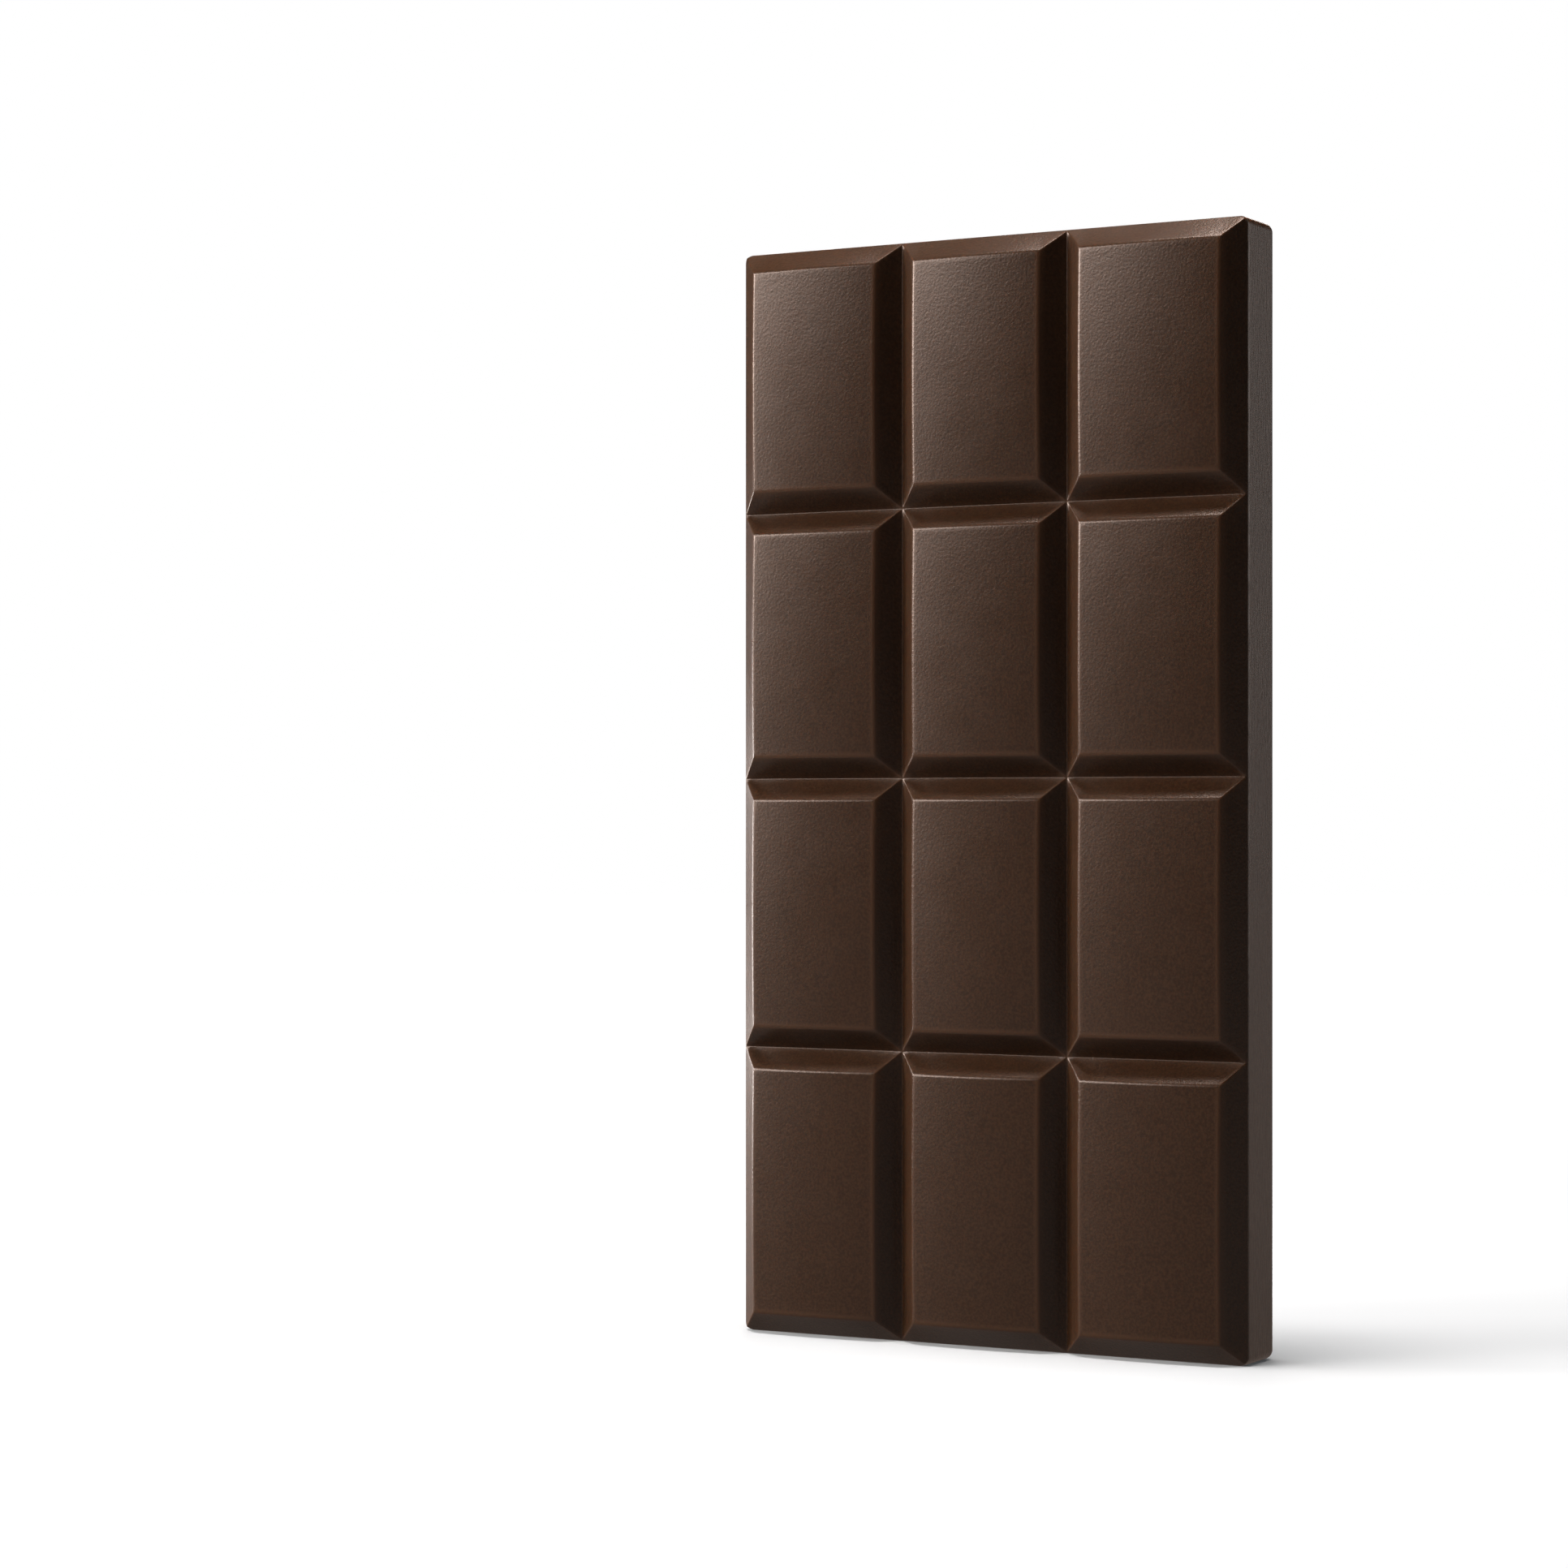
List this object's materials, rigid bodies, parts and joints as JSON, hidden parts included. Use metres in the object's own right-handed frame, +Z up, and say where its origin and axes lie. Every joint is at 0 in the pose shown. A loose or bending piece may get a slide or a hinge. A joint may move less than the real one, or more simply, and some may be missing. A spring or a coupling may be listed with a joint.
{
  "type": "chocolate bar",
  "caption": "Moulded dark chocolate tablet that stands on its short end, with a flat back and a face divided by V-shaped grooves into bevelled, slightly crowned segments.",
  "frame": {"origin": "middle of the bounding box's bottom, on the surface that the bar stands on", "axes": "+Z up along the bar's length, X across its width, +Y through its thickness towards the flat back, so the moulded face looks to -Y"},
  "size_m": [0.0756, 0.012, 0.15],
  "materials": {
    "dark_chocolate": "satin, with a fine pebbled grain on the moulded face"
  },
  "bodies": {
    "root": {"bar": "dark_chocolate"}
  },
  "joints": []
}
